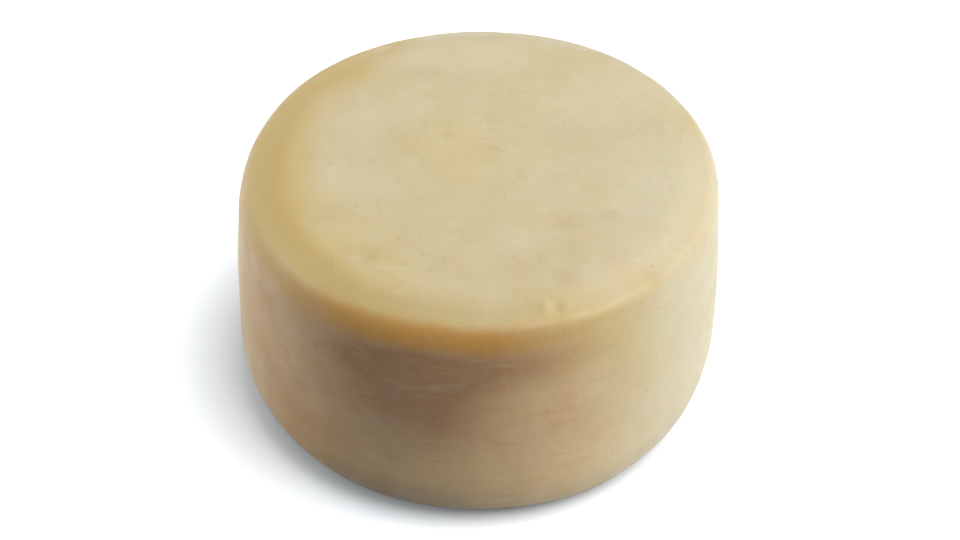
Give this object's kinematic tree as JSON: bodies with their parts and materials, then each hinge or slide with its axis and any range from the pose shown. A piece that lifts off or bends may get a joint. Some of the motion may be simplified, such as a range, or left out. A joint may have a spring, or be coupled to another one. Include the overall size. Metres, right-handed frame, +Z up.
{
  "type": "cheese wheel",
  "caption": "Small drum-shaped wheel of pressed cheese with a smooth pale natural rind and soft rounded edges, resting flat on its base.",
  "frame": {"origin": "under the middle of the wheel, on the surface that it rests on", "axes": "+Z up through the wheel's middle, -Y towards the front, +X to the right"},
  "size_m": [0.1686, 0.1694, 0.0938],
  "materials": {
    "rind": "smooth pale cream-yellow cheese rind with a faint waxy sheen"
  },
  "bodies": {
    "root": {"cheese_wheel": "rind"}
  },
  "joints": []
}
